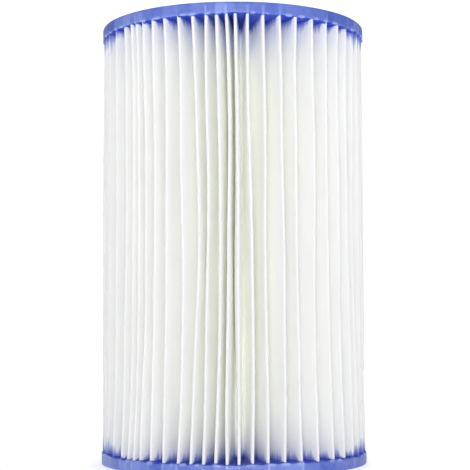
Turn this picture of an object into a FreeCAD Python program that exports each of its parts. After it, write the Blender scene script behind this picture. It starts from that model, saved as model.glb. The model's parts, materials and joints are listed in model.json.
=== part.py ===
"""Pleated filter cartridge for a pool or spa pump, open at both ends.

A band of pleated fabric stands round a stack of moulded core sections. Both ends of the fabric and of the
core are cast into soft vinyl end caps, whose bores and flat lands seal on the pump's housing.
Frame: millimetres, +Z up along the cartridge's axis, origin in the middle of the bottom cap's seat.
The fabric's seam is in the pleat that points along +Y.
"""

import FreeCAD, Part
import math
import os

import Sketcher
from FreeCAD import Placement, Rotation, Vector

DIMENSIONS = (
    ("CapDiameter", 146.0, "outside of both end caps"),
    ("OverallLength", 240.0, "seat to seat, over both caps"),
    ("BoreDiameter", 73.0, "opening through each cap"),
    ("CapHeight", 6.0, "each cap along the axis"),
    ("CapFloor", 2.5, "vinyl beyond the ends of the fabric and the core"),
    ("RimRadius", 0.8, "rounding of a cap's outer corners"),
    ("BoreMouthRadius", 0.5, "rounding of a bore's outer end"),
    ("InnerLand", 7.0, "width of the sealing land beside the bore"),
    ("OuterLand", 6.0, "width of the land at the rim"),
    ("FaceRecess", 0.8, "depth of the cap's face between the two lands"),
    ("TipCover", 1.0, "vinyl outside the pleats' tips"),
    ("BoreLip", 1.5, "vinyl between a bore and the core"),
    ("CoreWall", 2.4, "wall of a core section"),
    ("SpigotLength", 5.0, "overlap of two core sections"),
    ("SpigotClearance", 0.1, "radial and axial play of a spigot in its socket"),
    ("BandHeight", 8.0, "unbroken wall at each end of a core section"),
    ("RingHeight", 2.5, "wall between two rows of windows"),
    ("BarWidth", 3.2, "wall between two columns of windows"),
    ("WindowRows", 7, "rows of windows in a core section"),
    ("WindowColumns", 24, "windows round a core section"),
    ("RibWidth", 1.6, "ribs that hold the fabric off the core"),
    ("RibHeight", 0.6, "how far a rib stands out of the core"),
    ("MediaClearance", 0.2, "gap between the ribs and the fabric's inner folds"),
    ("MediaThickness", 0.5, "the filter fabric"),
    ("PleatCount", 60, "pleats round the cartridge"),
    ("PleatWidth", 2.5, "one pleat across both of its layers"),
    ("SeamDepth", 9.0, "how far the seam's adhesive reaches into its pleat"),
)

CORE_SECTIONS = ("core_bottom_section", "core_middle_section", "core_top_section")

CAP_RADIUS = "(Dimensions.CapDiameter / 2)"
BORE_RADIUS = "(Dimensions.BoreDiameter / 2)"
POTTED_LENGTH = "(Dimensions.OverallLength - 2 * Dimensions.CapFloor)"

CORE_INNER = f"({BORE_RADIUS} + Dimensions.BoreLip)"
CORE_OUTER = f"({CORE_INNER} + Dimensions.CoreWall)"
RIB_TOP = f"({CORE_OUTER} + Dimensions.RibHeight)"
CORE_MIDDLE = f"({CORE_INNER} + Dimensions.CoreWall / 2)"
SPIGOT_RADIUS = f"({CORE_MIDDLE} - Dimensions.SpigotClearance / 2)"
SOCKET_RADIUS = f"({CORE_MIDDLE} + Dimensions.SpigotClearance / 2)"
SOCKET_DEPTH = "(Dimensions.SpigotLength + Dimensions.SpigotClearance)"
SECTION_LENGTH = f"({POTTED_LENGTH} / {len(CORE_SECTIONS)})"
ROW_PITCH = (
    f"(({SECTION_LENGTH} - 2 * Dimensions.BandHeight + Dimensions.RingHeight)"
    " / Dimensions.WindowRows)"
)
COLUMN_PITCH = "(360deg / Dimensions.WindowColumns)"
WINDOW_WIDTH = f"(2 * {CORE_OUTER} * sin({COLUMN_PITCH} / 2) - Dimensions.BarWidth)"
WINDOW_HEIGHT = f"({ROW_PITCH} - Dimensions.RingHeight)"

# A pleat's two layers run parallel, LAYER_OFFSET either side of its radius to the middle of the fabric. Each
# bends round the centre of the valley beside it, which lies half a pitch further round.
HALF_PITCH = "(180deg / Dimensions.PleatCount)"
LAYER_OFFSET = "((Dimensions.PleatWidth - Dimensions.MediaThickness) / 2)"
TIP_CENTRE = f"({CAP_RADIUS} - Dimensions.TipCover - Dimensions.PleatWidth / 2)"
FOLD_RADIUS = f"({RIB_TOP} + Dimensions.MediaClearance + Dimensions.MediaThickness / 2)"
VALLEY_CENTRE = f"(({FOLD_RADIUS} - {LAYER_OFFSET}) / (1 - sin({HALF_PITCH})))"
VALLEY_BEND = f"({VALLEY_CENTRE} * sin({HALF_PITCH}) - {LAYER_OFFSET})"
VALLEY_X = f"({VALLEY_CENTRE} * sin({HALF_PITCH}))"
VALLEY_Y = f"({VALLEY_CENTRE} * cos({HALF_PITCH}))"

START = 1
END = 2
CENTRE = 3
ORIGIN = (-1, START)
HORIZONTAL_AXIS = -1
VERTICAL_AXIS = -2


def make_sheet(doc):
    """The driving dimensions: name, value and meaning in columns A, B and C."""
    sheet = doc.addObject("Spreadsheet::Sheet", "Dimensions")
    for row, (alias, value, meaning) in enumerate(DIMENSIONS, start=1):
        sheet.set(f"A{row}", alias)
        sheet.set(f"B{row}", str(value))
        sheet.set(f"C{row}", meaning)
        sheet.setAlias(f"B{row}", alias)
    doc.recompute()
    return sheet


def value_of(doc, expression):
    """What an expression of the sheet's cells comes to: a plain number, in radians for an angle."""
    found = doc.Dimensions.evalExpression(expression)
    if not hasattr(found, "Unit"):
        return float(found)
    if found.Unit == FreeCAD.Units.Angle:
        return math.radians(found.Value)
    return float(found.Value)


def bind(target, expressions):
    for name, expression in expressions.items():
        target.setExpression(name, expression)


def origin_feature(body, role):
    return next(feature for feature in body.Origin.OriginFeatures if feature.Role == role)


def new_body(doc, label):
    body = doc.addObject("PartDesign::Body", label + "_body")
    body.Label = label
    return body


def new_sketch(body, name, plane):
    sketch = body.newObject("Sketcher::SketchObject", name)
    sketch.AttachmentSupport = [(origin_feature(body, plane), "")]
    sketch.MapMode = "FlatFace"
    return sketch


def dimension(sketch, kind, references, expression):
    """A driving constraint whose value the sheet gives."""
    value = value_of(sketch.Document, expression)
    number = sketch.addConstraint(Sketcher.Constraint(kind, *references, value))
    sketch.setExpression(f"Constraints[{number}]", expression)


def locate(sketch, geometry, point, x, y):
    """Hold a point of the sketch at x and y, each an expression, or 0 for a point on an axis."""
    if x == 0:
        sketch.addConstraint(Sketcher.Constraint("PointOnObject", geometry, point, VERTICAL_AXIS))
    else:
        dimension(sketch, "DistanceX", (*ORIGIN, geometry, point), x)
    if y == 0:
        sketch.addConstraint(Sketcher.Constraint("PointOnObject", geometry, point, HORIZONTAL_AXIS))
    else:
        dimension(sketch, "DistanceY", (*ORIGIN, geometry, point), y)


def join(sketch, geometries):
    """Close a loop: each piece ends where the next one starts."""
    for before, after in zip(geometries, geometries[1:] + geometries[:1]):
        sketch.addConstraint(Sketcher.Constraint("Coincident", before, END, after, START))


def polygon(sketch, corners):
    """A closed outline of straight lines through corners given as pairs of expressions."""
    doc = sketch.Document
    points = []
    for x, y in corners:
        points.append(Vector(value_of(doc, str(x)), value_of(doc, str(y)), 0))
    lines = []
    for start, end in zip(points, points[1:] + points[:1]):
        lines.append(sketch.addGeometry(Part.LineSegment(start, end), False))
    join(sketch, lines)
    for line, (x, y) in zip(lines, corners):
        locate(sketch, line, START, x, y)


def revolve(body, name, corners):
    """A ring whose section, radius across and height up, is a polygon."""
    sketch = new_sketch(body, name + "_section", "XZ_Plane")
    polygon(sketch, corners)
    ring = body.newObject("PartDesign::Revolution", name)
    ring.Profile = sketch
    ring.ReferenceAxis = (sketch, ["V_Axis"])
    ring.Angle = 360
    body.Document.recompute()
    return ring


def pad(body, name, sketch, length):
    feature = body.newObject("PartDesign::Pad", name)
    feature.Profile = sketch
    bind(feature, {"Length": length})
    return feature


def polar_pattern(body, name, original, count):
    pattern = body.newObject("PartDesign::PolarPattern", name)
    pattern.Originals = [original]
    pattern.Axis = (origin_feature(body, "Z_Axis"), [""])
    pattern.Angle = 360
    bind(pattern, {"Occurrences": count})
    body.Tip = pattern
    body.Document.recompute()
    return pattern


def must_remove(before, cut):
    """A cut that points away from its solid removes nothing and reports no error."""
    if cut.Shape.Volume >= before - 1e-6:
        raise RuntimeError(f"{cut.Label}: the cut removed nothing")


def pleat_outline(sketch):
    """The section of one pleat along +Y and of half the valley on each side, with the fabric's thickness."""
    doc = sketch.Document
    half = value_of(doc, HALF_PITCH)
    layer = value_of(doc, LAYER_OFFSET)
    bend = value_of(doc, VALLEY_BEND)
    half_fabric = value_of(doc, "Dimensions.MediaThickness / 2")
    tip = Vector(0, value_of(doc, TIP_CENTRE), 0)
    valley_x = value_of(doc, VALLEY_X)
    valley_y = value_of(doc, VALLEY_Y)
    up = Vector(0, 0, 1)

    def arc(centre, radius, start, end):
        circle = Part.Circle(centre, up, radius)
        return sketch.addGeometry(Part.ArcOfCircle(circle, start, end), False)

    def layer_line(x, y_from, y_to):
        return sketch.addGeometry(Part.LineSegment(Vector(x, y_from, 0), Vector(x, y_to, 0)), False)

    def valley_edge(side, inner, outer):
        direction = Vector(side * math.sin(half), math.cos(half), 0)
        centre = Vector(side * valley_x, valley_y, 0)
        ends = (centre - direction * inner, centre - direction * outer)
        return sketch.addGeometry(Part.LineSegment(*ends), False)

    sides = {}
    for face, sign in (("outer", 1), ("inner", -1)):
        offset = layer + sign * half_fabric
        radius = bend - sign * half_fabric
        right_centre = Vector(valley_x, valley_y, 0)
        left_centre = Vector(-valley_x, valley_y, 0)
        right_valley = arc(right_centre, radius, math.pi, 1.5 * math.pi - half)
        right_line = layer_line(offset, valley_y, tip.y)
        tip_arc = arc(tip, offset, 0, math.pi)
        left_line = layer_line(-offset, tip.y, valley_y)
        left_valley = arc(left_centre, radius, 1.5 * math.pi + half, 2 * math.pi)
        sides[face] = (right_valley, right_line, tip_arc, left_line, left_valley)

        joints = (
            (right_valley, START, right_line, START),
            (right_line, END, tip_arc, START),
            (tip_arc, END, left_line, START),
            (left_line, END, left_valley, END),
        )
        for joint in joints:
            sketch.addConstraint(Sketcher.Constraint("Coincident", *joint))
        bend_radius = f"{VALLEY_BEND} {'-' if sign > 0 else '+'} Dimensions.MediaThickness / 2"
        locate(sketch, right_valley, CENTRE, VALLEY_X, VALLEY_Y)
        locate(sketch, left_valley, CENTRE, f"-{VALLEY_X}", VALLEY_Y)
        locate(sketch, tip_arc, CENTRE, 0, TIP_CENTRE)
        dimension(sketch, "Radius", (right_valley,), bend_radius)
        dimension(sketch, "Radius", (left_valley,), bend_radius)
        sketch.addConstraint(Sketcher.Constraint("Vertical", right_line))
        for line, point in ((right_line, START), (left_line, END)):
            dimension(sketch, "DistanceY", (*ORIGIN, line, point), VALLEY_Y)
        for line, point in ((right_line, END), (left_line, START)):
            dimension(sketch, "DistanceY", (*ORIGIN, line, point), TIP_CENTRE)

    inner_radius = bend - half_fabric
    outer_radius = bend + half_fabric
    for side, index, point in ((1, 0, END), (-1, 4, START)):
        edge = valley_edge(side, inner_radius, outer_radius)
        outer_arc = sides["outer"][index]
        inner_arc = sides["inner"][index]
        sketch.addConstraint(Sketcher.Constraint("Coincident", outer_arc, point, edge, START))
        sketch.addConstraint(Sketcher.Constraint("Coincident", inner_arc, point, edge, END))
        sketch.addConstraint(Sketcher.Constraint("PointOnObject", outer_arc, CENTRE, edge))
        sketch.addConstraint(Sketcher.Constraint("PointOnObject", -1, START, edge))


def make_media(doc):
    """The pleated fabric: one pleat, repeated round the axis, with its tip fold cut off at the seam."""
    body = new_body(doc, "pleated_media")
    outline = new_sketch(body, "pleat_outline", "XY_Plane")
    pleat_outline(outline)
    pleat = pad(body, "pleat", outline, POTTED_LENGTH)
    doc.recompute()
    polar_pattern(body, "pleats", pleat, "Dimensions.PleatCount")

    closed = body.Shape.Volume
    opening = new_sketch(body, "seam_opening", "XY_Plane")
    polygon(
        opening,
        (
            ("-Dimensions.PleatWidth", TIP_CENTRE),
            ("Dimensions.PleatWidth", TIP_CENTRE),
            ("Dimensions.PleatWidth", CAP_RADIUS),
            ("-Dimensions.PleatWidth", CAP_RADIUS),
        ),
    )
    seam = body.newObject("PartDesign::Pocket", "seam")
    seam.Profile = opening
    seam.Type = "ThroughAll"
    seam.Reversed = True
    doc.recompute()
    must_remove(closed, body)
    bind(body, {"Placement.Base.z": "Dimensions.CapFloor"})
    return body


def make_seam_adhesive(doc):
    """The strip of adhesive that joins the fabric's two ends between the layers of one pleat."""
    strip = doc.addObject("Part::Box", "seam_adhesive_strip")
    strip.Label = "seam_adhesive"
    gap = "(Dimensions.PleatWidth - 2 * Dimensions.MediaThickness)"
    bind(
        strip,
        {
            "Length": gap,
            "Width": "Dimensions.SeamDepth",
            "Height": POTTED_LENGTH,
            "Placement.Base.x": f"-{gap} / 2",
            "Placement.Base.y": f"{TIP_CENTRE} - Dimensions.SeamDepth",
            "Placement.Base.z": "Dimensions.CapFloor",
        },
    )
    return strip


def make_windows(doc):
    """The openings through one core section whose lower end is at height 0: a grid of boxes."""
    boxes = []
    inside = f"({CORE_INNER} - Dimensions.CoreWall)"
    for column in range(round(value_of(doc, "Dimensions.WindowColumns"))):
        turn = f"({column} * {COLUMN_PITCH})"
        for row in range(round(value_of(doc, "Dimensions.WindowRows"))):
            box = doc.addObject("Part::Box", f"window_{column}_{row}")
            bind(
                box,
                {
                    "Length": WINDOW_WIDTH,
                    "Width": "3 * Dimensions.CoreWall",
                    "Height": WINDOW_HEIGHT,
                    "Placement.Rotation.Angle": turn,
                    "Placement.Base.x": f"-{WINDOW_WIDTH} / 2 * cos({turn}) - {inside} * sin({turn})",
                    "Placement.Base.y": f"-{WINDOW_WIDTH} / 2 * sin({turn}) + {inside} * cos({turn})",
                    "Placement.Base.z": f"Dimensions.BandHeight + {row} * {ROW_PITCH}",
                },
            )
            boxes.append(box)
    grid = doc.addObject("Part::Compound", "core_windows")
    grid.Links = boxes
    doc.recompute()
    return grid


def make_core_section(doc, index, windows):
    """One moulded section of the core: a windowed tube with ribs, a socket below and a spigot above."""
    label = CORE_SECTIONS[index]
    body = new_body(doc, label + "_tube")
    if index > 0:
        lower_end = (
            (CORE_INNER, SOCKET_DEPTH),
            (SOCKET_RADIUS, SOCKET_DEPTH),
            (SOCKET_RADIUS, 0),
        )
    else:
        lower_end = ((CORE_INNER, 0),)
    if index < len(CORE_SECTIONS) - 1:
        spigot_top = f"({SECTION_LENGTH} + Dimensions.SpigotLength)"
        upper_end = (
            (SPIGOT_RADIUS, SECTION_LENGTH),
            (SPIGOT_RADIUS, spigot_top),
            (CORE_INNER, spigot_top),
        )
    else:
        upper_end = ((CORE_INNER, SECTION_LENGTH),)
    outside = ((CORE_OUTER, 0), (CORE_OUTER, SECTION_LENGTH))
    revolve(body, label + "_wall", (*lower_end, *outside, *upper_end))

    rib_sketch = new_sketch(body, label + "_rib_outline", "XY_Plane")
    rib_sketch.AttachmentOffset = Placement(Vector(0, 0, 0), Rotation(Vector(0, 0, 1), 0))
    bind(rib_sketch, {"AttachmentOffset.Rotation.Angle": f"{COLUMN_PITCH} / 2"})
    polygon(
        rib_sketch,
        (
            ("-Dimensions.RibWidth / 2", f"{CORE_OUTER} - Dimensions.RibHeight"),
            ("Dimensions.RibWidth / 2", f"{CORE_OUTER} - Dimensions.RibHeight"),
            ("Dimensions.RibWidth / 2", RIB_TOP),
            ("-Dimensions.RibWidth / 2", RIB_TOP),
        ),
    )
    rib = pad(body, label + "_rib", rib_sketch, SECTION_LENGTH)
    doc.recompute()
    polar_pattern(body, label + "_ribs", rib, "Dimensions.WindowColumns")

    section = doc.addObject("Part::Cut", label + "_windows")
    section.Base = body
    section.Tool = windows
    doc.recompute()
    must_remove(body.Shape.Volume, section)
    section.Label = label
    bind(section, {"Placement.Base.z": f"Dimensions.CapFloor + {index} * {SECTION_LENGTH}"})
    return section


def make_cap_blank(doc, label):
    """An end cap before the fabric and the core take their room in it, with its seat at height 0."""
    body = new_body(doc, label + "_blank")
    inner_edge = f"({BORE_RADIUS} + Dimensions.InnerLand)"
    outer_edge = f"({CAP_RADIUS} - Dimensions.OuterLand)"
    ring = revolve(
        body,
        label + "_ring",
        (
            (BORE_RADIUS, 0),
            (inner_edge, 0),
            (f"({inner_edge} + Dimensions.FaceRecess)", "Dimensions.FaceRecess"),
            (f"({outer_edge} - Dimensions.FaceRecess)", "Dimensions.FaceRecess"),
            (outer_edge, 0),
            (CAP_RADIUS, 0),
            (CAP_RADIUS, "Dimensions.CapHeight"),
            (BORE_RADIUS, "Dimensions.CapHeight"),
        ),
    )
    height = value_of(doc, "Dimensions.CapHeight")
    roundings = (
        ("rim", value_of(doc, CAP_RADIUS), (0, height), "Dimensions.RimRadius"),
        ("mouth", value_of(doc, BORE_RADIUS), (0,), "Dimensions.BoreMouthRadius"),
    )
    rounded = ring
    for name, radius, heights, size in roundings:
        edges = circular_edges(rounded.Shape, radius, heights)
        fillet = body.newObject("PartDesign::Fillet", f"{label}_{name}")
        fillet.Base = (rounded, edges)
        bind(fillet, {"Radius": size})
        doc.recompute()
        rounded = fillet
    return body


def circular_edges(shape, radius, heights):
    """Names of the full-circle edges of one radius round the axis that lie at the given heights."""
    names = []
    for number, edge in enumerate(shape.Edges, start=1):
        curve = edge.Curve
        if not isinstance(curve, Part.Circle) or abs(curve.Radius - radius) > 1e-6:
            continue
        if any(abs(curve.Center.z - height) < 1e-6 for height in heights):
            names.append(f"Edge{number}")
    if len(names) != len(heights):
        raise RuntimeError(f"found {len(names)} edges of radius {radius}, not {len(heights)}")
    return names


def make_end_cap(doc, label, potted, upper):
    """A cap cast round the ends of the potted pieces. The upper one is the lower one turned over."""
    blank = make_cap_blank(doc, label)
    if upper:
        blank.Placement = Placement(Vector(0, 0, 0), Rotation(Vector(1, 0, 0), 180))
        bind(blank, {"Placement.Base.z": "Dimensions.OverallLength"})
    cap = blank
    for piece in potted:
        cut = doc.addObject("Part::Cut", f"{label}_round_{piece.Label}")
        cut.Base = cap
        cut.Tool = piece
        doc.recompute()
        cap = cut
    cap.Label = label
    return cap


def check_document(doc, pieces):
    for item in doc.Objects:
        if "Invalid" in item.State or "Error" in item.State:
            raise RuntimeError(f"{item.Label} failed: {item.State}")
    for piece in pieces:
        shape = piece.Shape
        if shape.isNull() or not shape.isValid():
            raise RuntimeError(f"{piece.Label} has no valid shape")
        if len(shape.Solids) != 1:
            raise RuntimeError(f"{piece.Label} is {len(shape.Solids)} solids, not one")


def main():
    doc = FreeCAD.newDocument("filter_cartridge")
    make_sheet(doc)
    media = make_media(doc)
    adhesive = make_seam_adhesive(doc)
    windows = make_windows(doc)
    core = [make_core_section(doc, index, windows) for index in range(len(CORE_SECTIONS))]
    bottom_cap = make_end_cap(doc, "bottom_end_cap", (media, adhesive, core[0]), upper=False)
    top_cap = make_end_cap(doc, "top_end_cap", (media, adhesive, core[-1]), upper=True)

    pieces = [bottom_cap, top_cap, media, adhesive, *core]
    doc.recompute()
    check_document(doc, pieces)
    os.makedirs("parts", exist_ok=True)
    for piece in pieces:
        piece.Shape.exportStep(os.path.join("parts", piece.Label + ".step"))
        box = piece.Shape.BoundBox
        print(f"{piece.Label}: {piece.Shape.Volume:.1f} mm3, z {box.ZMin:.2f} to {box.ZMax:.2f}")


main()
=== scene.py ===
"""Looks of a pleated filter cartridge: wandering pleats of white fabric, potted at both ends in blue vinyl.

Metres, in the CAD frame: +Z along the cartridge, the seat of the bottom cap at height 0. Angles round the
axis are counted from the front (-Y), positive to the right (+X). The fabric's seam is at the back (+Y).
"""

import json
import math

import bpy
import numpy as np
from mathutils import Matrix, Vector


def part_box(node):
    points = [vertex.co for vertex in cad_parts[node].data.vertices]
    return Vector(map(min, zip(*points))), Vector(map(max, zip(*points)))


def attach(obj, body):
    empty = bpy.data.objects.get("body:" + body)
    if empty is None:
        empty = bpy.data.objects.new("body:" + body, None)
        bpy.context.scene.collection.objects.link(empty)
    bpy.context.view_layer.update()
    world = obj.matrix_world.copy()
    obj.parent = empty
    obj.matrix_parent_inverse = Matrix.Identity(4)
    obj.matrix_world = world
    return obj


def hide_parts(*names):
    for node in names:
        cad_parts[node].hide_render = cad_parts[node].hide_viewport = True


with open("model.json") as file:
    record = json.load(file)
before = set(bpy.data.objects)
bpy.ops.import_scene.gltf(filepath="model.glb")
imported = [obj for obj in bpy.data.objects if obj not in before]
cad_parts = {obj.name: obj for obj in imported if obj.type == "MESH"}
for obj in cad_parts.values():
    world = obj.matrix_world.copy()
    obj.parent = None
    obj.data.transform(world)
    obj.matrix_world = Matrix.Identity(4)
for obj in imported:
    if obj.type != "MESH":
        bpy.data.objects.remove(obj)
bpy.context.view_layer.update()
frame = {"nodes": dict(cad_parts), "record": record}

MM = 0.001

# Sizes read from the frame.
BORE_RADIUS = next(m for m in frame["record"]["mounts"] if m["name"] == "top_bore")["dims"]["r_mm"] * MM
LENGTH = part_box("top_end_cap")[1].z
RESIN_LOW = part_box("bottom_end_cap")[1].z
RESIN_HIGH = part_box("top_end_cap")[0].z
FABRIC_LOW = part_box("pleated_media")[0].z
FABRIC_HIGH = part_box("pleated_media")[1].z
TIP_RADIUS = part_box("pleated_media")[1].x
CORE_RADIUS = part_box("core_middle_section")[1].y
GLUE_LOW, GLUE_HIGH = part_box("seam_adhesive")

# The fabric and the way it is folded.
PLEATS = 60
FRONT = PLEATS // 2  # the pleat at the middle of the front
FABRIC = 0.5 * MM
TIP_BEND = 0.5 * MM
VALLEY_BEND = 1.0 * MM
FOLD_GAP = 0.4 * MM  # from the core to the fabric's inner folds
LAYER_GAP = 0.55 * MM  # least distance between the middles of a pleat's two layers
TIP_REACH = 0.35 * MM  # how far the tips stand out past the CAD's
TIP_RADIUS_WANDER = 0.25 * MM
LAYER_SLACK = 0.55 * MM
BEND_POINTS = 5
LEG_POINTS = 4
LEVELS = 40
LEVELS_EVEN = 0.65  # share of even spacing between levels; the rest crowds them towards both ends

# Where the tips stand, in degrees round the axis. Steps count pleats from the front one.
USUAL_PITCH = 5.6
PITCH_SCATTER = 0.28
FRONT_ANGLE = -2.8  # where the front tip stands
CROWD_STEP, CROWD_WIDTH = -0.4, 1.5  # the middle of the crowded pleats, in steps, and how many they are
SPREAD_STEP, SPREAD_WIDTH = 5.6, 3.2  # the same for those that are spread out
PITCH_HUMPS = (  # degrees, step, width in steps
    (4.0, -11.6, 1.0), (-2.3, -9.0, 1.4), (0.6, -5.5, 1.5), (0.5, -1.0, 0.4), (-0.5, -2.0, 0.4),
)
REAR_STEP, REAR_BLEND = 17.0, 2.0  # pleats beyond this step take up what the front ones leave
BOW = -3.0  # sideways bow of a pleat at half height
BOW_STEP, BOW_BLEND, BOW_REACH = 3.0, 9.0, 17.0  # the step where it changes sides, how softly, and its reach
TIP_WANDER = 0.55
VALLEY_WANDER = 0.3
SEAM_HOLD = 2.5  # pleats on each side of the seam that wander less
VALLEY_LEANS = ((FRONT - 1, 1.5), (FRONT, 0.8))  # valleys pushed to the right, as pleat and degrees
VALLEY_FOLLOWS = 0.6  # share of a valley's place set by its tips; the rest by even spacing round the core

# The caps' section, from the bore outwards.
TIP_COVER = 1.0 * MM
CAP_RADIUS = TIP_RADIUS + TIP_COVER
INNER_LAND = 7.0 * MM
OUTER_LAND = 6.0 * MM
FACE_RECESS = 0.8 * MM
RIM_ROUNDING = 0.8 * MM
BORE_ROUNDING = 0.5 * MM
INNER_LIP = 0.3 * MM
OUTER_LIP = 0.35 * MM
EDGE_SOFTNESS = 0.15 * MM
CAP_COLUMNS = 1440

# How uneven the poured vinyl is.
FLOW_LIFT = 0.22 * MM
RAGGED_LIFT = 0.16 * MM
TIP_LIFT, TIP_LIFT_WIDTH = 0.10 * MM, 1.2 * MM
MENISCUS, MENISCUS_WIDTH = 0.75 * MM, 0.5 * MM
BEAD = 0.30 * MM
POOL_WAVE = 0.15 * MM
SLUMP = 0.28 * MM
SKIN_SWELL = 0.22 * MM
SINK = 0.10 * MM
WALL_WAVE = 0.06 * MM
EDGE_ZONE = 2.5 * MM  # how far the rim's unevenness reaches inwards, and a sink mark from a tip
TIP_GHOST, LAYER_GHOST = 0.5 * MM, 0.6 * MM  # half widths of the pale marks of fabric under the skin
LIP_SKIN_AND_HIGHLIGHT, FACE_GHOST = 0.75, 0.6  # how strong they are: on the outer lip a paler skin, partly a painted highlight, and on the cap's face fabric under the skin
CELL_TONE = 0.6  # share of the vinyl's tone that changes at each pleat; the rest changes every few
TONE_GROUP = 4
TONE_BLUR = 7
SKIN_AND_HIGHLIGHT_FROM, SKIN_AND_HIGHLIGHT_FULL = 0.25, 1.1  # noise levels between which the lip turns to a thicker, paler skin; its paleness is partly a painted highlight
SKIN_AND_HIGHLIGHT_FLOW = 0.7
SLUMP_START = 0.3 * RESIN_LOW
TIP_MARK_FROM, TIP_MARK_FULL = 1.0 * MM, 3.0 * MM
SINK_FROM = 0.5 * MM
FACE_ROWS, POOL_ROWS = 7, 30
POOL_CROWDING = 1.35  # above 1 puts the pool's rows closer together near the rim
WIDE_WAVES, MIDDLE_WAVES, FINE_WAVES = (3, 17), (20, 90), (60, 240)  # waves round the cap, fewest and most

# Noise round the axis.
NOISE_WAVES = 8
NOISE_LEVEL = 2.2

# The seam's bead.
GLUE_LEVELS = 90
GLUE_ARC_POINTS = 9
GLUE_SHARE = 0.75  # the strip's half thickness, as a share of the space it fills
GLUE_SWELL = 0.55 * MM
GLUE_OVERLAP = 0.3 * MM
GLUE_LUMP, GLUE_RIPPLE = 0.5 * MM, 0.25 * MM
GLUE_RIPPLE_TURNS = 60  # radians of ripple per metre of height
GLUE_BULGE = 1.5  # the bead's half width, as a share of the strip's
LUMP_OUT, LUMP_ASIDE, LUMP_IN = 0.25, 0.1, 0.5  # shares of a lump: outwards, aside, and at the inner edge

# The scene around the part: floor, lights (name, place, width and height, watts) and camera.
FLOOR_HALF = 4.0
GLOW_FROM_TO = (0.25, 1.2)  # distances from the axis between which the floor's glow rises
GLOW_NEAR_FAR = (0.52, 1.0)
LIGHTS = (
    ("centre", (-0.03, -1.25, 0.15), (0.25, 0.5), 7.2),
    ("right", (0.60, -1.08, 0.25), (0.5, 0.6), 1.0),
    ("back", (0.1, 1.3, 0.4), (0.6, 0.6), 4.5),
    ("top", (0.0, -0.1, 1.4), (0.8, 0.8), 2.5),
)
SKY_LIGHT, SKY_SEEN = 0.25, 1.1  # the room's strength as light on the part, and as the camera sees it
SENSOR_MM, LENS_MM = 36.0, 97.9
CAMERA_PLACE = (0.0, -0.714, 0.0772)
CAMERA_PAN, CAMERA_TILT, CAMERA_ROLL = -0.07, 3.88, -0.19  # degrees; tilt is upwards from level
LIGHT_BOUNCES = 32  # enough for light to find its way out of the folds

CAP_SEED_BOTTOM, CAP_SEED_TOP = 21, 47
GLUE_SEED = 11
rng = np.random.default_rng(60)


# ---------------------------------------------------------------- small helpers

def polar(radius, angle):
    """Points at a radius and an angle round the axis, counted from the front."""
    return np.stack([radius * np.sin(angle), -radius * np.cos(angle)], axis=-1)


def smoothstep(low, high, value):
    t = np.clip((value - low) / (high - low), 0.0, 1.0)
    return t * t * (3.0 - 2.0 * t)


def hump(value, centre, width):
    """A smooth bump of height 1 at the centre."""
    return np.exp(-(((value - centre) / width) ** 2))


def wander(count, amplitude, orders, along):
    """Smooth random curves, one per row, that are zero at both ends of along (0 to 1)."""
    curves = np.zeros((count, len(along)))
    for order in range(1, orders + 1):
        size = rng.normal(0.0, amplitude / order, (count, 1))
        curves += size * np.sin(math.pi * order * along)[None, :]
    return curves


def round_noise(angles, waves, seed):
    """Smooth noise round the axis, about -1 to 1, from a few seeded waves."""
    draw = np.random.default_rng(seed)
    total = np.zeros_like(angles)
    for _ in range(NOISE_WAVES):
        order = draw.integers(waves[0], waves[1])
        total += np.sin(order * angles + draw.uniform(0, 2 * math.pi)) / NOISE_LEVEL
    return total


def mesh_piece(name, points, faces, material, smooth=True):
    """A linked object made of an array of points and a list of faces."""
    mesh = bpy.data.meshes.new(name)
    mesh.from_pydata(points.tolist(), [], faces)
    mesh.validate()
    mesh.polygons.foreach_set("use_smooth", np.full(len(mesh.polygons), smooth))
    mesh.materials.append(material)
    mesh.update()
    piece = bpy.data.objects.new(name, mesh)
    bpy.context.scene.collection.objects.link(piece)
    return piece


def point_attribute(piece, name, values):
    attribute = piece.data.attributes.new(name, "FLOAT", "POINT")
    attribute.data.foreach_set("value", np.asarray(values, np.float32))


def grid_faces(rows, columns, close_columns):
    """Quads of a grid of points, row after row. The last column may join the first."""
    last = columns if close_columns else columns - 1
    row, column = np.meshgrid(np.arange(rows - 1), np.arange(last), indexing="ij")
    beside = (column + 1) % columns
    corners = (
        row * columns + column,
        row * columns + beside,
        (row + 1) * columns + beside,
        (row + 1) * columns + column,
    )
    return np.stack(corners, axis=-1).reshape(-1, 4)


# ---------------------------------------------------------------- where the pleats lie

def tip_angles(crowding, spread):
    """One end's pleat tips, in radians: crowded just at the front, spread out to the right of it."""
    step = np.arange(PLEATS) - FRONT
    pitch = USUAL_PITCH - crowding * hump(step, CROWD_STEP, CROWD_WIDTH)
    pitch += spread * hump(step, SPREAD_STEP, SPREAD_WIDTH)
    for size, centre, width in PITCH_HUMPS:
        pitch += size * hump(step, centre, width)
    pitch += rng.normal(0.0, PITCH_SCATTER, PLEATS) * (step != 0)
    rear = 1.0 / (1.0 + np.exp(-(np.abs(step + 0.5) - REAR_STEP) / REAR_BLEND))
    for side, total in ((step < 0, 180.0 + FRONT_ANGLE), (step >= 0, 180.0 - FRONT_ANGLE)):
        missing = total - pitch[side].sum()
        pitch[side] += missing * rear[side] / rear[side].sum()
    angles = -180.0 + np.concatenate([[0.0], np.cumsum(pitch)[:-1]])
    return np.radians(angles)


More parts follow.
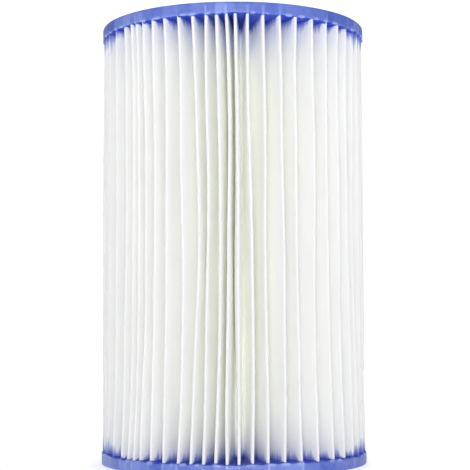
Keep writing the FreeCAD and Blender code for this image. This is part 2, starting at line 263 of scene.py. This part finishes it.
def pleat_paths(along):
    """Angles of the tips and of the valleys beside them, for each pleat and each height (0 to 1)."""
    top = tip_angles(crowding=2.2, spread=2.4)
    bottom = tip_angles(crowding=1.1, spread=2.8)
    step = np.arange(PLEATS) - FRONT
    bow = math.radians(BOW) * np.tanh((step - BOW_STEP) / BOW_BLEND) * np.exp(-((step / BOW_REACH) ** 4))
    tips = bottom[:, None] + (top - bottom)[:, None] * along[None, :]
    tips += bow[:, None] * np.sin(math.pi * along)[None, :]
    from_seam = np.minimum(np.arange(PLEATS), PLEATS - np.arange(PLEATS))
    loose = 1.0 - hump(from_seam, 0.0, SEAM_HOLD)
    tips += wander(PLEATS, math.radians(TIP_WANDER), 5, along) * loose[:, None]

    even = np.radians(-180.0 + (np.arange(PLEATS) + 0.5) * 360.0 / PLEATS)
    after = np.concatenate([tips[1:], tips[:1] + 2 * math.pi])
    valleys = VALLEY_FOLLOWS * (tips + after) / 2 + (1.0 - VALLEY_FOLLOWS) * even[:, None]
    valleys += wander(PLEATS, math.radians(VALLEY_WANDER), 3, along)
    for pleat, lean in VALLEY_LEANS:
        valleys[pleat] += math.radians(lean)
    return tips, valleys


def bend(centre, outward, across, radius, turn):
    """Points round a fold: from one layer, over the fold, to the other layer."""
    angles = np.linspace(-math.pi / 2, math.pi / 2, BEND_POINTS)
    points = []
    for angle in angles:
        points.append(centre + radius * (turn * math.cos(angle) * outward + math.sin(angle) * across))
    return points


def fabric_surface():
    """The middle of the fabric as a grid: rows are heights, columns run along the folded strip."""
    along = 0.5 - 0.5 * np.cos(np.linspace(0.0, math.pi, LEVELS))
    along = (1.0 - LEVELS_EVEN) * along + LEVELS_EVEN * np.linspace(0.0, 1.0, LEVELS)
    heights = FABRIC_LOW + along * (FABRIC_HIGH - FABRIC_LOW)
    tips, valleys = pleat_paths(along)
    tip_radii = TIP_RADIUS - FABRIC / 2 - TIP_BEND + TIP_REACH
    tip_radii = tip_radii + wander(PLEATS, TIP_RADIUS_WANDER, 3, along)
    valley_radii = CORE_RADIUS + FOLD_GAP + FABRIC / 2 + VALLEY_BEND
    belly = wander(2 * PLEATS, LAYER_SLACK, 4, along)

    columns = []
    pleat_ends = []
    previous = None
    for pleat in range(PLEATS + 1):
        index = pleat % PLEATS
        tip = tips[index] + (2 * math.pi if pleat == PLEATS else 0.0)
        outward = polar(1.0, tip)
        across = polar(1.0, tip + math.pi / 2)
        centre = polar(tip_radii[index], tip)
        if pleat == 0:
            fold = [centre + TIP_BEND * across]
        elif pleat == PLEATS:
            fold = [centre - TIP_BEND * across]
        else:
            fold = bend(centre, outward, across, TIP_BEND, 1)
        if previous is not None:
            columns += leg(previous, fold[0], belly[2 * pleat - 1])
        columns += fold
        if pleat == PLEATS:
            break
        valley = valleys[index]
        valley_out = polar(1.0, valley)
        valley_across = polar(1.0, valley + math.pi / 2)
        valley_centre = polar(valley_radii, valley)
        hollow = bend(valley_centre, valley_out, valley_across, VALLEY_BEND, -1)
        columns += leg(fold[-1], hollow[0], belly[2 * pleat])
        if pleat > 0:
            pleat_ends.append(len(columns))
        columns += hollow
        previous = hollow[-1]
    flat = np.stack(columns, axis=1)
    part_layers(flat, pleat_ends)
    grid = np.concatenate([flat, np.broadcast_to(heights[:, None, None], (*flat.shape[:2], 1))], axis=2)
    return grid, tips, valleys


def leg(start, end, belly):
    """Points along one layer between two folds, with the layer's slack bulging to one side."""
    run = end - start
    side = np.stack([-run[:, 1], run[:, 0]], axis=-1) / np.linalg.norm(run, axis=1)[:, None]
    points = []
    for share in np.arange(1, LEG_POINTS + 1) / (LEG_POINTS + 1):
        bulge = belly * math.sin(math.pi * share)
        points.append(start + share * run + bulge[:, None] * side)
    return points


def part_layers(flat, pleat_ends):
    """Move the two layers of a pleat apart where their slack would make them pass into each other."""
    for end in pleat_ends:
        right = flat[:, end - LEG_POINTS:end][:, ::-1]
        left_end = end - LEG_POINTS - BEND_POINTS
        left = flat[:, left_end - LEG_POINTS:left_end]
        apart = right - left
        gap = np.linalg.norm(apart, axis=2)[:, :, None]
        push = np.clip(LAYER_GAP - gap, 0.0, None) / 2 * apart / gap
        left -= push
        right += push


def thicken(grid, thickness):
    """A closed shell round a grid of points: one layer each side, joined along all four edges."""
    rows, columns, _ = grid.shape
    along_rows = np.gradient(grid, axis=0)
    along_columns = np.gradient(grid, axis=1)
    normals = np.cross(along_columns, along_rows)
    normals /= np.linalg.norm(normals, axis=2)[:, :, None]
    points = np.concatenate([(grid + side * normals * thickness / 2).reshape(-1, 3) for side in (1, -1)])
    offset = rows * columns
    front = grid_faces(rows, columns, False)
    back = front[:, ::-1] + offset
    index = np.arange(offset).reshape(rows, columns)
    border = np.concatenate([index[0, :-1], index[:-1, -1], index[-1, :0:-1], index[:0:-1, 0]])
    ahead = np.roll(border, -1)
    rim = np.stack([ahead, border, border + offset, ahead + offset], axis=-1)
    return points, np.concatenate([front, back, rim])


# ---------------------------------------------------------------- the vinyl caps

def leg_angles(radius, tips, valleys):
    """Angles of all the fabric's layers at one radius, at one end of the cartridge."""
    inner = CORE_RADIUS + FOLD_GAP
    share = np.clip((radius - inner) / (TIP_RADIUS - inner), 0.0, 1.0)
    before = np.roll(valleys, 1)
    before[0] -= 2 * math.pi
    half_fold = TIP_BEND / radius * share
    left = before + share * (tips - before) - half_fold
    right = valleys + share * (tips - valleys) + half_fold
    return np.sort(np.concatenate([left, right]))


def distance_round(angles, marks):
    """Smallest angle from each of some angles to any of the sorted marks."""
    wrapped = np.concatenate([marks - 2 * math.pi, marks, marks + 2 * math.pi])
    after = np.searchsorted(wrapped, angles).clip(1, len(wrapped) - 1)
    return np.minimum(np.abs(angles - wrapped[after - 1]), np.abs(wrapped[after] - angles))


def arc_rows(centre_r, centre_z, radius, start, end, steps):
    """Rows of a section along an arc, as (radius, height) pairs."""
    turn = np.radians(np.linspace(start, end, steps))
    return [(centre_r + radius * math.cos(a), centre_z + radius * math.sin(a)) for a in turn]


def nearest_mark(angles, marks):
    """Index of the mark closest to each of some angles."""
    apart = np.abs((angles[:, None] - marks[None, :] + math.pi) % (2 * math.pi) - math.pi)
    return apart.argmin(axis=1)


def cap_points(tips, valleys, seed):
    """A lower cap's surface: the section's rows from the bore's lip round the seat and rim to the resin."""
    angles = np.linspace(-math.pi, math.pi, CAP_COLUMNS, endpoint=False)
    section = arc_rows(BORE_RADIUS + INNER_LIP, RESIN_LOW - INNER_LIP, INNER_LIP, 90, 180, 3)
    section += [(BORE_RADIUS, share * RESIN_LOW) for share in (0.75, 0.5, 0.25)]
    section += arc_rows(BORE_RADIUS + BORE_ROUNDING, BORE_ROUNDING, BORE_ROUNDING, 180, 270, 4)
    inner_edge = BORE_RADIUS + INNER_LAND
    outer_edge = CAP_RADIUS - OUTER_LAND
    edge = EDGE_SOFTNESS
    section += [(BORE_RADIUS + INNER_LAND / 2, 0.0), (inner_edge - edge, 0.0), (inner_edge + edge, edge / 2)]
    floor_low = inner_edge + FACE_RECESS
    floor_high = outer_edge - FACE_RECESS
    section += [(floor_low - edge, FACE_RECESS - edge / 2), (floor_low + edge, FACE_RECESS)]
    floor_width = floor_high - floor_low
    section += [(floor_low + floor_width * share, FACE_RECESS) for share in np.linspace(0.1, 0.9, FACE_ROWS)]
    section += [(floor_high - edge, FACE_RECESS), (floor_high + edge, FACE_RECESS - edge / 2)]
    section += [(outer_edge - edge, edge / 2), (outer_edge + edge, 0.0), (CAP_RADIUS - OUTER_LAND / 2, 0.0)]
    section += arc_rows(CAP_RADIUS - RIM_ROUNDING, RIM_ROUNDING, RIM_ROUNDING, 270, 360, 5)
    section += [(CAP_RADIUS, RESIN_LOW * share) for share in (0.35, 0.55, 0.75)]
    wall_rows = len(section)
    section += arc_rows(CAP_RADIUS - OUTER_LIP, RESIN_LOW - OUTER_LIP, OUTER_LIP, 0, 90, 4)
    resin_rows = len(section)
    outer = CAP_RADIUS - 2 * OUTER_LIP
    inner = BORE_RADIUS + 2 * INNER_LIP
    spread = np.linspace(0.0, 1.0, POOL_ROWS)[1:] ** POOL_CROWDING
    section += [(outer - (outer - inner) * share, RESIN_LOW) for share in spread]

    flow = round_noise(angles, WIDE_WAVES, seed)
    fine = round_noise(angles, FINE_WAVES, seed + 1)
    ragged = round_noise(angles, MIDDLE_WAVES, seed + 2)
    tip_distance = distance_round(angles, np.sort(tips)) * TIP_RADIUS
    pressed = np.random.default_rng(seed + 3).uniform(0.0, 1.0, PLEATS)[nearest_mark(angles, tips)] ** 2
    # where the lip's skin thickens and turns paler; the paleness is partly a painted highlight
    skin_and_highlight = smoothstep(SKIN_AND_HIGHLIGHT_FROM, SKIN_AND_HIGHLIGHT_FULL, ragged + SKIN_AND_HIGHLIGHT_FLOW * flow)
    points = np.zeros((len(section), CAP_COLUMNS, 3))
    ghost_and_highlight = np.zeros((len(section), CAP_COLUMNS))
    inside = np.zeros_like(ghost_and_highlight)
    for row, (radius, height) in enumerate(section):
        radii = np.full(CAP_COLUMNS, radius)
        heights = np.full(CAP_COLUMNS, height)
        to_leg = distance_round(angles, leg_angles(radius, tips, valleys)) * radius
        if row >= wall_rows:
            lift = FLOW_LIFT * flow + RAGGED_LIFT * ragged
            lift = lift + TIP_LIFT * hump(tip_distance, 0.0, TIP_LIFT_WIDTH)
            near_rim = smoothstep(TIP_RADIUS - EDGE_ZONE, CAP_RADIUS, radius)
            meniscus = MENISCUS * np.exp(-to_leg / MENISCUS_WIDTH) * float(radius < TIP_RADIUS)
            bead = BEAD * (fine + ragged) * near_rim * (row >= resin_rows)
            heights = heights + lift * near_rim + meniscus + bead + POOL_WAVE * flow * (1 - near_rim)
        elif height > SLUMP_START and radius > TIP_RADIUS:
            heights = heights + SLUMP * flow * smoothstep(SLUMP_START, RESIN_LOW, height)
        if radius > TIP_RADIUS:
            at_lip = float(wall_rows <= row < resin_rows + 2)
            radii = radii + SKIN_SWELL * skin_and_highlight * at_lip
            sink = smoothstep(0.0, EDGE_ZONE, tip_distance) * smoothstep(SINK_FROM, EDGE_ZONE, height)
            radii = radii - SINK * sink + WALL_WAVE * flow
            tip_mark = pressed * hump(tip_distance, 0.0, TIP_GHOST)
            tip_mark = tip_mark * smoothstep(TIP_MARK_FROM, TIP_MARK_FULL, height)
            # pale marks: fabric tips under the skin, and the lip's paler skin, partly a painted highlight
            ghost_and_highlight[row] = np.maximum(tip_mark, LIP_SKIN_AND_HIGHLIGHT * skin_and_highlight * at_lip)
        elif radius > CORE_RADIUS and height < 0.5 * RESIN_LOW:
            ghost_and_highlight[row] = FACE_GHOST * hump(to_leg, 0.0, LAYER_GHOST)
        # the resin pool between the pleats, which the vinyl material paints a darker, more saturated blue as
        # shade
        if row >= resin_rows:
            inside[row] = 1.0 - smoothstep(TIP_RADIUS - 0.5 * MM, CAP_RADIUS, radius)
        points[row, :, :2] = polar(radii, angles)
        points[row, :, 2] = heights
    return points, ghost_and_highlight, inside, angles


def cell_tones(angles, tips, seed):
    """A random tone for each cell between two tips, partly shared by neighbours, blurred where cells meet."""
    draw = np.random.default_rng(seed)
    cell = np.searchsorted(np.sort(tips), angles) % PLEATS
    own = draw.uniform(0.0, 1.0, PLEATS)
    shared = np.repeat(draw.uniform(0.0, 1.0, PLEATS // TONE_GROUP), TONE_GROUP)
    tone = (CELL_TONE * own + (1.0 - CELL_TONE) * shared)[cell]
    kernel = np.hanning(TONE_BLUR) / np.hanning(TONE_BLUR).sum()
    half = TONE_BLUR // 2
    return np.convolve(np.concatenate([tone[-half:], tone, tone[:half]]), kernel, mode="valid")


def make_cap(name, node, tips, valleys, seed, upper, material):
    """One cap's visible piece; the upper one is the lower one's shape turned over."""
    points, ghost_and_highlight, inside, angles = cap_points(tips, valleys, seed)
    rows = len(points)
    faces = grid_faces(rows, CAP_COLUMNS, True)
    last = (rows - 1) * CAP_COLUMNS
    column = np.arange(CAP_COLUMNS)
    beside = (column + 1) % CAP_COLUMNS
    closing = np.stack([last + column, last + beside, beside, column], axis=-1)
    faces = np.concatenate([faces, closing])
    if upper:
        points[:, :, 2] = LENGTH - points[:, :, 2]
        faces = faces[:, ::-1]
    piece = mesh_piece(name, points.reshape(-1, 3), faces.tolist(), material)
    tone = cell_tones(angles, tips, seed + 5)
    point_attribute(piece, "ghost_and_highlight", ghost_and_highlight.ravel())
    point_attribute(piece, "inside", inside.ravel())
    point_attribute(piece, "tone", np.broadcast_to(tone, ghost_and_highlight.shape).ravel())
    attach(piece, "root")
    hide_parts(node)


# ---------------------------------------------------------------- materials

class Nodes:
    """Short calls for building a material's node tree, with numbers or node outputs as values."""

    def __init__(self, name):
        self.material = bpy.data.materials.new(name)
        self.material.use_nodes = True
        self.tree = self.material.node_tree
        self.shader = self.tree.nodes["Principled BSDF"]

    def add(self, kind, **settings):
        node = self.tree.nodes.new(kind)
        for name, value in settings.items():
            setattr(node, name, value)
        return node

    def link(self, output, target):
        self.tree.links.new(output, target)

    def place(self, stretch=(1, 1, 1)):
        """Object coordinates in metres, stretched."""
        where = self.add("ShaderNodeTexCoord")
        mapping = self.add("ShaderNodeMapping")
        mapping.inputs["Scale"].default_value = stretch
        self.link(where.outputs["Object"], mapping.inputs["Vector"])
        return mapping.outputs["Vector"]

    def noise(self, scale, detail=3.0, stretch=(1, 1, 1), rough=0.55):
        node = self.add("ShaderNodeTexNoise")
        node.inputs["Scale"].default_value = scale
        node.inputs["Detail"].default_value = detail
        node.inputs["Roughness"].default_value = rough
        self.link(self.place(stretch), node.inputs["Vector"])
        return node.outputs["Fac"]

    def span(self, value, from_low, from_high, to_low=0.0, to_high=1.0, smooth=False):
        node = self.add("ShaderNodeMapRange")
        node.interpolation_type = "SMOOTHSTEP" if smooth else "LINEAR"
        ends = {"From Min": from_low, "From Max": from_high, "To Min": to_low, "To Max": to_high}
        for name, number in ends.items():
            node.inputs[name].default_value = number
        self.link(value, node.inputs["Value"])
        return node.outputs["Result"]

    def math(self, operation, *values):
        node = self.add("ShaderNodeMath", operation=operation)
        for socket, value in zip(node.inputs, values):
            if isinstance(value, (int, float)):
                socket.default_value = value
            else:
                self.link(value, socket)
        return node.outputs["Value"]

    def mix(self, factor, first, second):
        """A colour between two others; sockets 6 and 7 are the mix node's two colours."""
        node = self.add("ShaderNodeMix", data_type="RGBA")
        sockets = (node.inputs["Factor"], node.inputs[6], node.inputs[7])
        for socket, value in zip(sockets, (factor, first, second)):
            if isinstance(value, tuple):
                socket.default_value = (*value, 1.0)
            elif isinstance(value, (int, float)):
                socket.default_value = value
            else:
                self.link(value, socket)
        return node.outputs[2]

    def weighted(self, *pairs):
        """Sum of values, each times its weight; a weight of 1 is left out of the tree."""
        terms = [value if weight == 1 else self.math("MULTIPLY", value, weight) for value, weight in pairs]
        total = terms[0]
        for term in terms[1:]:
            total = self.math("ADD", total, term)
        return total

    def bump(self, height, strength, distance):
        node = self.add("ShaderNodeBump")
        node.inputs["Strength"].default_value = strength
        node.inputs["Distance"].default_value = distance
        self.link(height, node.inputs["Height"])
        self.link(node.outputs["Normal"], self.shader.inputs["Normal"])

    def attribute(self, name):
        return self.add("ShaderNodeAttribute", attribute_name=name).outputs["Fac"]

    def set(self, **values):
        for name, value in values.items():
            self.shader.inputs[name.replace("_", " ")].default_value = value


def fabric_material():
    """Spun-bonded polyester: matt white, faintly mottled by its fibres, stained blue next to the caps, with
    painted blue bounce light from the caps and painted blue shade in the folds' depths and on the flanks.
    """
    nodes = Nodes("spun_bonded_polyester")
    cool_white, warm_white, fibre_grey = (0.956, 0.959, 0.936), (0.965, 0.967, 0.950), (0.92, 0.93, 0.90)
    # painted blue bounce light from the caps, and a blue stain from the vinyl that is partly painted shade
    painted_blue_bounce, blue_stain_and_shade = (0.50, 0.60, 0.92), (0.03, 0.09, 0.55)
    depth_from, depth_full = 0.2 * MM, 5 * MM  # behind the tips
    flank_from, flank_full = 54 * MM, 67 * MM  # to the left or right of the axis
    least_reach, short_streak, long_streak = 0.3 * MM, 2.2 * MM, 8.5 * MM
    flank_shade_extra, stain_and_shade_strength = 0.7, 0.9
    # reach and strength of the painted blue bounce light near each cap
    bounce_height_top, bounce_height_bottom, bounce_strength, bounce_at_tips = 22 * MM, 14 * MM, 0.28, 0.15
    fibres = nodes.noise(2600.0, 4.0, (1, 1, 0.45), 0.7)
    clouds = nodes.noise(90.0, 3.0, (1, 1, 0.4))
    white = nodes.mix(nodes.span(clouds, 0.3, 0.7), cool_white, warm_white)
    white = nodes.mix(nodes.span(fibres, 0.35, 0.75, 0.0, 0.35), white, fibre_grey)

    separate = nodes.add("ShaderNodeSeparateXYZ")
    nodes.link(nodes.place(), separate.inputs["Vector"])
    height = separate.outputs["Z"]
    above = nodes.math("SUBTRACT", height, RESIN_LOW)
    below = nodes.math("SUBTRACT", RESIN_HIGH, height)
    free = nodes.math("MINIMUM", above, below)
    streaks = nodes.noise(1.0, 4.0, (600, 600, 50), 0.6)
    across = [separate.outputs[axis] for axis in ("X", "Y")]
    squares = [nodes.math("MULTIPLY", axis, axis) for axis in across]
    radius = nodes.math("SQRT", nodes.math("ADD", *squares))
    depth = nodes.span(radius, TIP_RADIUS - depth_from, TIP_RADIUS - depth_full, smooth=True)
    flank = nodes.span(nodes.math("ABSOLUTE", separate.outputs["X"]), flank_from, flank_full, smooth=True)

    # The vinyl stains the fabric in streaks, and painted shade adds to it: the blue reaches farther into the
    # folds' depths and the flanks, but hardly the front tips.
    shaded_depth_and_flanks = nodes.math("MAXIMUM", depth, flank)
    reach = nodes.math("MULTIPLY", nodes.span(streaks, 0.3, 0.7, short_streak, long_streak), shaded_depth_and_flanks)
    reach = nodes.math("MULTIPLY", reach, nodes.math("ADD", nodes.math("MULTIPLY", flank, flank_shade_extra), 1.0))
    reach = nodes.math("ADD", reach, least_reach)
    stain_and_shade = nodes.span(nodes.math("DIVIDE", free, reach), 0.0, 1.0, 1.0, 0.0, smooth=True)

    # Painted blue bounce light from the caps at the ends of the folds, stronger deeper behind the tips.
    painted_bounce_high = nodes.span(below, 0.0, bounce_height_top, bounce_strength, 0.0, smooth=True)
    painted_bounce_low = nodes.span(above, 0.0, bounce_height_bottom, bounce_strength, 0.0, smooth=True)
    glow = nodes.math("MAXIMUM", painted_bounce_high, painted_bounce_low)
    glow = nodes.math("MULTIPLY", glow, nodes.math("ADD", depth, bounce_at_tips))
    colour = nodes.mix(glow, white, painted_blue_bounce)
    # the blue stain, partly painted shade
    colour = nodes.mix(nodes.math("MULTIPLY", stain_and_shade, stain_and_shade_strength), colour, blue_stain_and_shade)
    nodes.link(colour, nodes.shader.inputs["Base Color"])
    nodes.set(Roughness=0.85, IOR=1.4, Subsurface_Weight=1.0, Subsurface_Scale=0.9 * MM)
    nodes.shader.inputs["Subsurface Radius"].default_value = (1.0, 1.0, 0.9)
    nodes.shader.inputs["Sheen Weight"].default_value = 0.08
    nodes.bump(nodes.weighted((fibres, 1), (clouds, 0.6)), 0.35, 0.12 * MM)
    return nodes.material


def vinyl_material():
    """Blue vinyl plastisol: cloudy and glossy, paler where white fabric stands just under its skin and on the
    lip's thicker skin, whose paleness is partly a painted highlight; the resin pool between the pleats is
    painted a darker, more saturated blue as shade.
    """
    nodes = Nodes("blue_vinyl")
    # the pale tone marks fabric under the skin, and on the lip a paler skin that is partly a painted
    # highlight
    dark_rim, light_rim, pale_mark_and_highlight = (0.070, 0.125, 0.53), (0.22, 0.30, 0.74), (0.58, 0.65, 0.94)
    # the pool's darker, more saturated blues are painted shade
    dark_shaded_pool, light_shaded_pool = (0.003, 0.030, 0.52), (0.025, 0.10, 0.70)
    cloud = nodes.noise(160.0, 4.0)
    grain = nodes.noise(1900.0, 3.0)
    tone = nodes.weighted((nodes.attribute("tone"), 0.5), (cloud, 0.5))
    rim = nodes.mix(nodes.span(tone, 0.25, 0.75), dark_rim, light_rim)
    # pale marks of fabric under the skin; on the lip, a paler skin that is partly a painted highlight
    rim = nodes.mix(nodes.math("MULTIPLY", nodes.attribute("ghost_and_highlight"), 0.6), rim, pale_mark_and_highlight)
    # painted shade: the resin pool between the pleats is a darker, more saturated blue than the rim
    shaded_pool = nodes.mix(cloud, dark_shaded_pool, light_shaded_pool)
    colour = nodes.mix(nodes.attribute("inside"), rim, shaded_pool)
    nodes.link(colour, nodes.shader.inputs["Base Color"])
    nodes.set(IOR=1.5, Subsurface_Weight=0.3, Subsurface_Scale=2.0 * MM)
    nodes.shader.inputs["Subsurface Radius"].default_value = (0.25, 0.35, 1.0)
    nodes.link(nodes.span(cloud, 0.2, 0.8, 0.30, 0.48), nodes.shader.inputs["Roughness"])
    nodes.bump(nodes.weighted((cloud, 1), (grain, 0.15)), 0.3, 0.25 * MM)
    return nodes.material


def core_material():
    """White moulded plastic, slightly yellow, with faint flow marks along the bars."""
    nodes = Nodes("moulded_core")
    flow = nodes.noise(1.0, 4.0, (260, 260, 40))
    grain = nodes.noise(2400.0, 2.0)
    colour = nodes.mix(nodes.span(flow, 0.3, 0.7), (0.78, 0.78, 0.74), (0.86, 0.86, 0.83))
    nodes.link(colour, nodes.shader.inputs["Base Color"])
    nodes.link(nodes.span(grain, 0.3, 0.7, 0.36, 0.5), nodes.shader.inputs["Roughness"])
    nodes.bump(nodes.weighted((flow, 1), (grain, 0.3)), 0.2, 0.1 * MM)
    return nodes.material


def glue_material():
    """Clear amber hot-melt adhesive."""
    nodes = Nodes("hot_melt")
    cloud = nodes.noise(300.0, 3.0)
    colour = nodes.mix(cloud, (0.74, 0.68, 0.50), (0.85, 0.82, 0.68))
    nodes.link(colour, nodes.shader.inputs["Base Color"])
    nodes.link(nodes.span(cloud, 0.3, 0.7, 0.2, 0.38), nodes.shader.inputs["Roughness"])
    nodes.set(IOR=1.48, Subsurface_Weight=0.3, Subsurface_Scale=1.5 * MM)
    nodes.bump(cloud, 0.3, 0.2 * MM)
    return nodes.material


def floor_material():
    """A pale matt floor, soft with shade near the part and glowing to white away from it."""
    nodes = Nodes("pale_floor")
    mottle = nodes.noise(6.0, 3.0)
    nodes.link(nodes.mix(mottle, (0.90, 0.90, 0.90), (0.93, 0.93, 0.93)), nodes.shader.inputs["Base Color"])
    nodes.set(Roughness=0.8)
    nodes.shader.inputs["Emission Color"].default_value = (1.0, 1.0, 1.0, 1.0)
    away = nodes.add("ShaderNodeVectorMath", operation="LENGTH")
    nodes.link(nodes.place(), away.inputs[0])
    glow = nodes.span(away.outputs["Value"], *GLOW_FROM_TO, *GLOW_NEAR_FAR, smooth=True)
    nodes.link(glow, nodes.shader.inputs["Emission Strength"])
    return nodes.material


# ---------------------------------------------------------------- the pieces

def make_fabric(material):
    """The folded strip, with both its ends at the seam. Returns where its tips and valleys lie."""
    grid, tips, valleys = fabric_surface()
    points, faces = thicken(grid, FABRIC)
    piece = mesh_piece("pleated_fabric", points, faces.tolist(), material)
    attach(piece, "root")
    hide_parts("pleated_media")
    return tips, valleys


def make_glue(material):
    """The seam's adhesive: a strip between the last two layers that swells into a lumpy bead outside them."""
    heights = np.linspace(GLUE_LOW.z, GLUE_HIGH.z, GLUE_LEVELS)
    lump = wander(1, GLUE_LUMP, 9, np.linspace(0, 1, GLUE_LEVELS))[0]
    lump = lump + GLUE_RIPPLE * round_noise(heights * GLUE_RIPPLE_TURNS, (3, 9), GLUE_SEED)
    half = (GLUE_HIGH.x - GLUE_LOW.x) / 2 * GLUE_SHARE
    swell = GLUE_SWELL + LUMP_OUT * lump
    loop = []
    for turn in np.linspace(-math.pi / 2, math.pi / 2, GLUE_ARC_POINTS):
        x = half * GLUE_BULGE * math.sin(turn) + LUMP_ASIDE * lump
        y = GLUE_HIGH.y - GLUE_OVERLAP + swell * math.cos(turn)
        loop.append(np.stack([x, y, heights], axis=-1))
    inner = GLUE_LOW.y + LUMP_IN * lump
    for x in (half, 0.0, -half):
        loop.append(np.stack([np.full(GLUE_LEVELS, x), inner, heights], axis=-1))
    grid = np.stack(loop, axis=1)
    rows, columns, _ = grid.shape
    first, last = list(range(columns)), [(rows - 1) * columns + i for i in range(columns)]
    faces = grid_faces(rows, columns, True).tolist() + [first[::-1], last]
    piece = mesh_piece("seam_bead", grid.reshape(-1, 3), faces, material)
    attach(piece, "root")
    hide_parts("seam_adhesive")


def dress_core(material):
    """Material for the core's own CAD nodes, which stay as they are."""
    for node in ("core_bottom_section", "core_middle_section", "core_top_section"):
        piece = frame["nodes"][node]
        piece.data.materials.clear()
        piece.data.materials.append(material)


# ---------------------------------------------------------------- floor, light and camera

def make_floor(material):
    corners = FLOOR_HALF * np.array([(-1.0, -1.0, 0.0), (1.0, -1.0, 0.0), (1.0, 1.0, 0.0), (-1.0, 1.0, 0.0)])
    floor = mesh_piece("floor", corners, [(0, 1, 2, 3)], material, smooth=False)


def area_light(name, place, aim, size, power):
    light = bpy.data.lights.new(name, "AREA")
    light.shape = "RECTANGLE"
    light.size, light.size_y = size
    light.energy = power
    holder = bpy.data.objects.new(name, light)
    holder.location = place
    holder.rotation_euler = (Vector(aim) - Vector(place)).to_track_quat("-Z", "Y").to_euler()
    bpy.context.scene.collection.objects.link(holder)


def make_lights():
    """A dim white room that the camera sees as pure white, and four lights round the part."""
    world = bpy.data.worlds.new("studio")
    world.use_nodes = True
    tree = world.node_tree
    background = tree.nodes["Background"]
    background.inputs["Color"].default_value = (1.0, 1.0, 1.0, 1.0)
    rays = tree.nodes.new("ShaderNodeLightPath")
    strength = tree.nodes.new("ShaderNodeMapRange")
    strength.inputs["To Min"].default_value = SKY_LIGHT
    strength.inputs["To Max"].default_value = SKY_SEEN
    tree.links.new(rays.outputs["Is Camera Ray"], strength.inputs["Value"])
    tree.links.new(strength.outputs["Result"], background.inputs["Strength"])
    bpy.context.scene.world = world
    middle = (0.0, 0.0, LENGTH / 2)
    for name, place, size, power in LIGHTS:
        area_light(name, place, middle, size, power)


def make_camera():
    """The photograph's view: low in front of the part, looking slightly up."""
    data = bpy.data.cameras.new("camera")
    data.sensor_width = SENSOR_MM
    data.lens = LENS_MM
    camera = bpy.data.objects.new("camera", data)
    place = Matrix.Translation(CAMERA_PLACE)
    pan = Matrix.Rotation(math.radians(CAMERA_PAN), 4, "Z")
    tilt = Matrix.Rotation(math.radians(90 + CAMERA_TILT), 4, "X")
    roll = Matrix.Rotation(math.radians(CAMERA_ROLL), 4, "Z")
    camera.matrix_world = place @ pan @ tilt @ roll
    bpy.context.scene.collection.objects.link(camera)
    bpy.context.scene.camera = camera


def main():
    fabric = fabric_material()
    vinyl = vinyl_material()
    tips, valleys = make_fabric(fabric)
    bottom, top = (tips[:, 0], valleys[:, 0]), (tips[:, -1], valleys[:, -1])
    make_cap("bottom_cap_vinyl", "bottom_end_cap", *bottom, CAP_SEED_BOTTOM, False, vinyl)
    make_cap("top_cap_vinyl", "top_end_cap", *top, CAP_SEED_TOP, True, vinyl)
    make_glue(glue_material())
    dress_core(core_material())
    make_floor(floor_material())
    make_lights()
    make_camera()
    bpy.context.scene.view_settings.view_transform = "Standard"
    cycles = bpy.context.scene.cycles
    cycles.max_bounces = LIGHT_BOUNCES
    cycles.diffuse_bounces = LIGHT_BOUNCES


main()
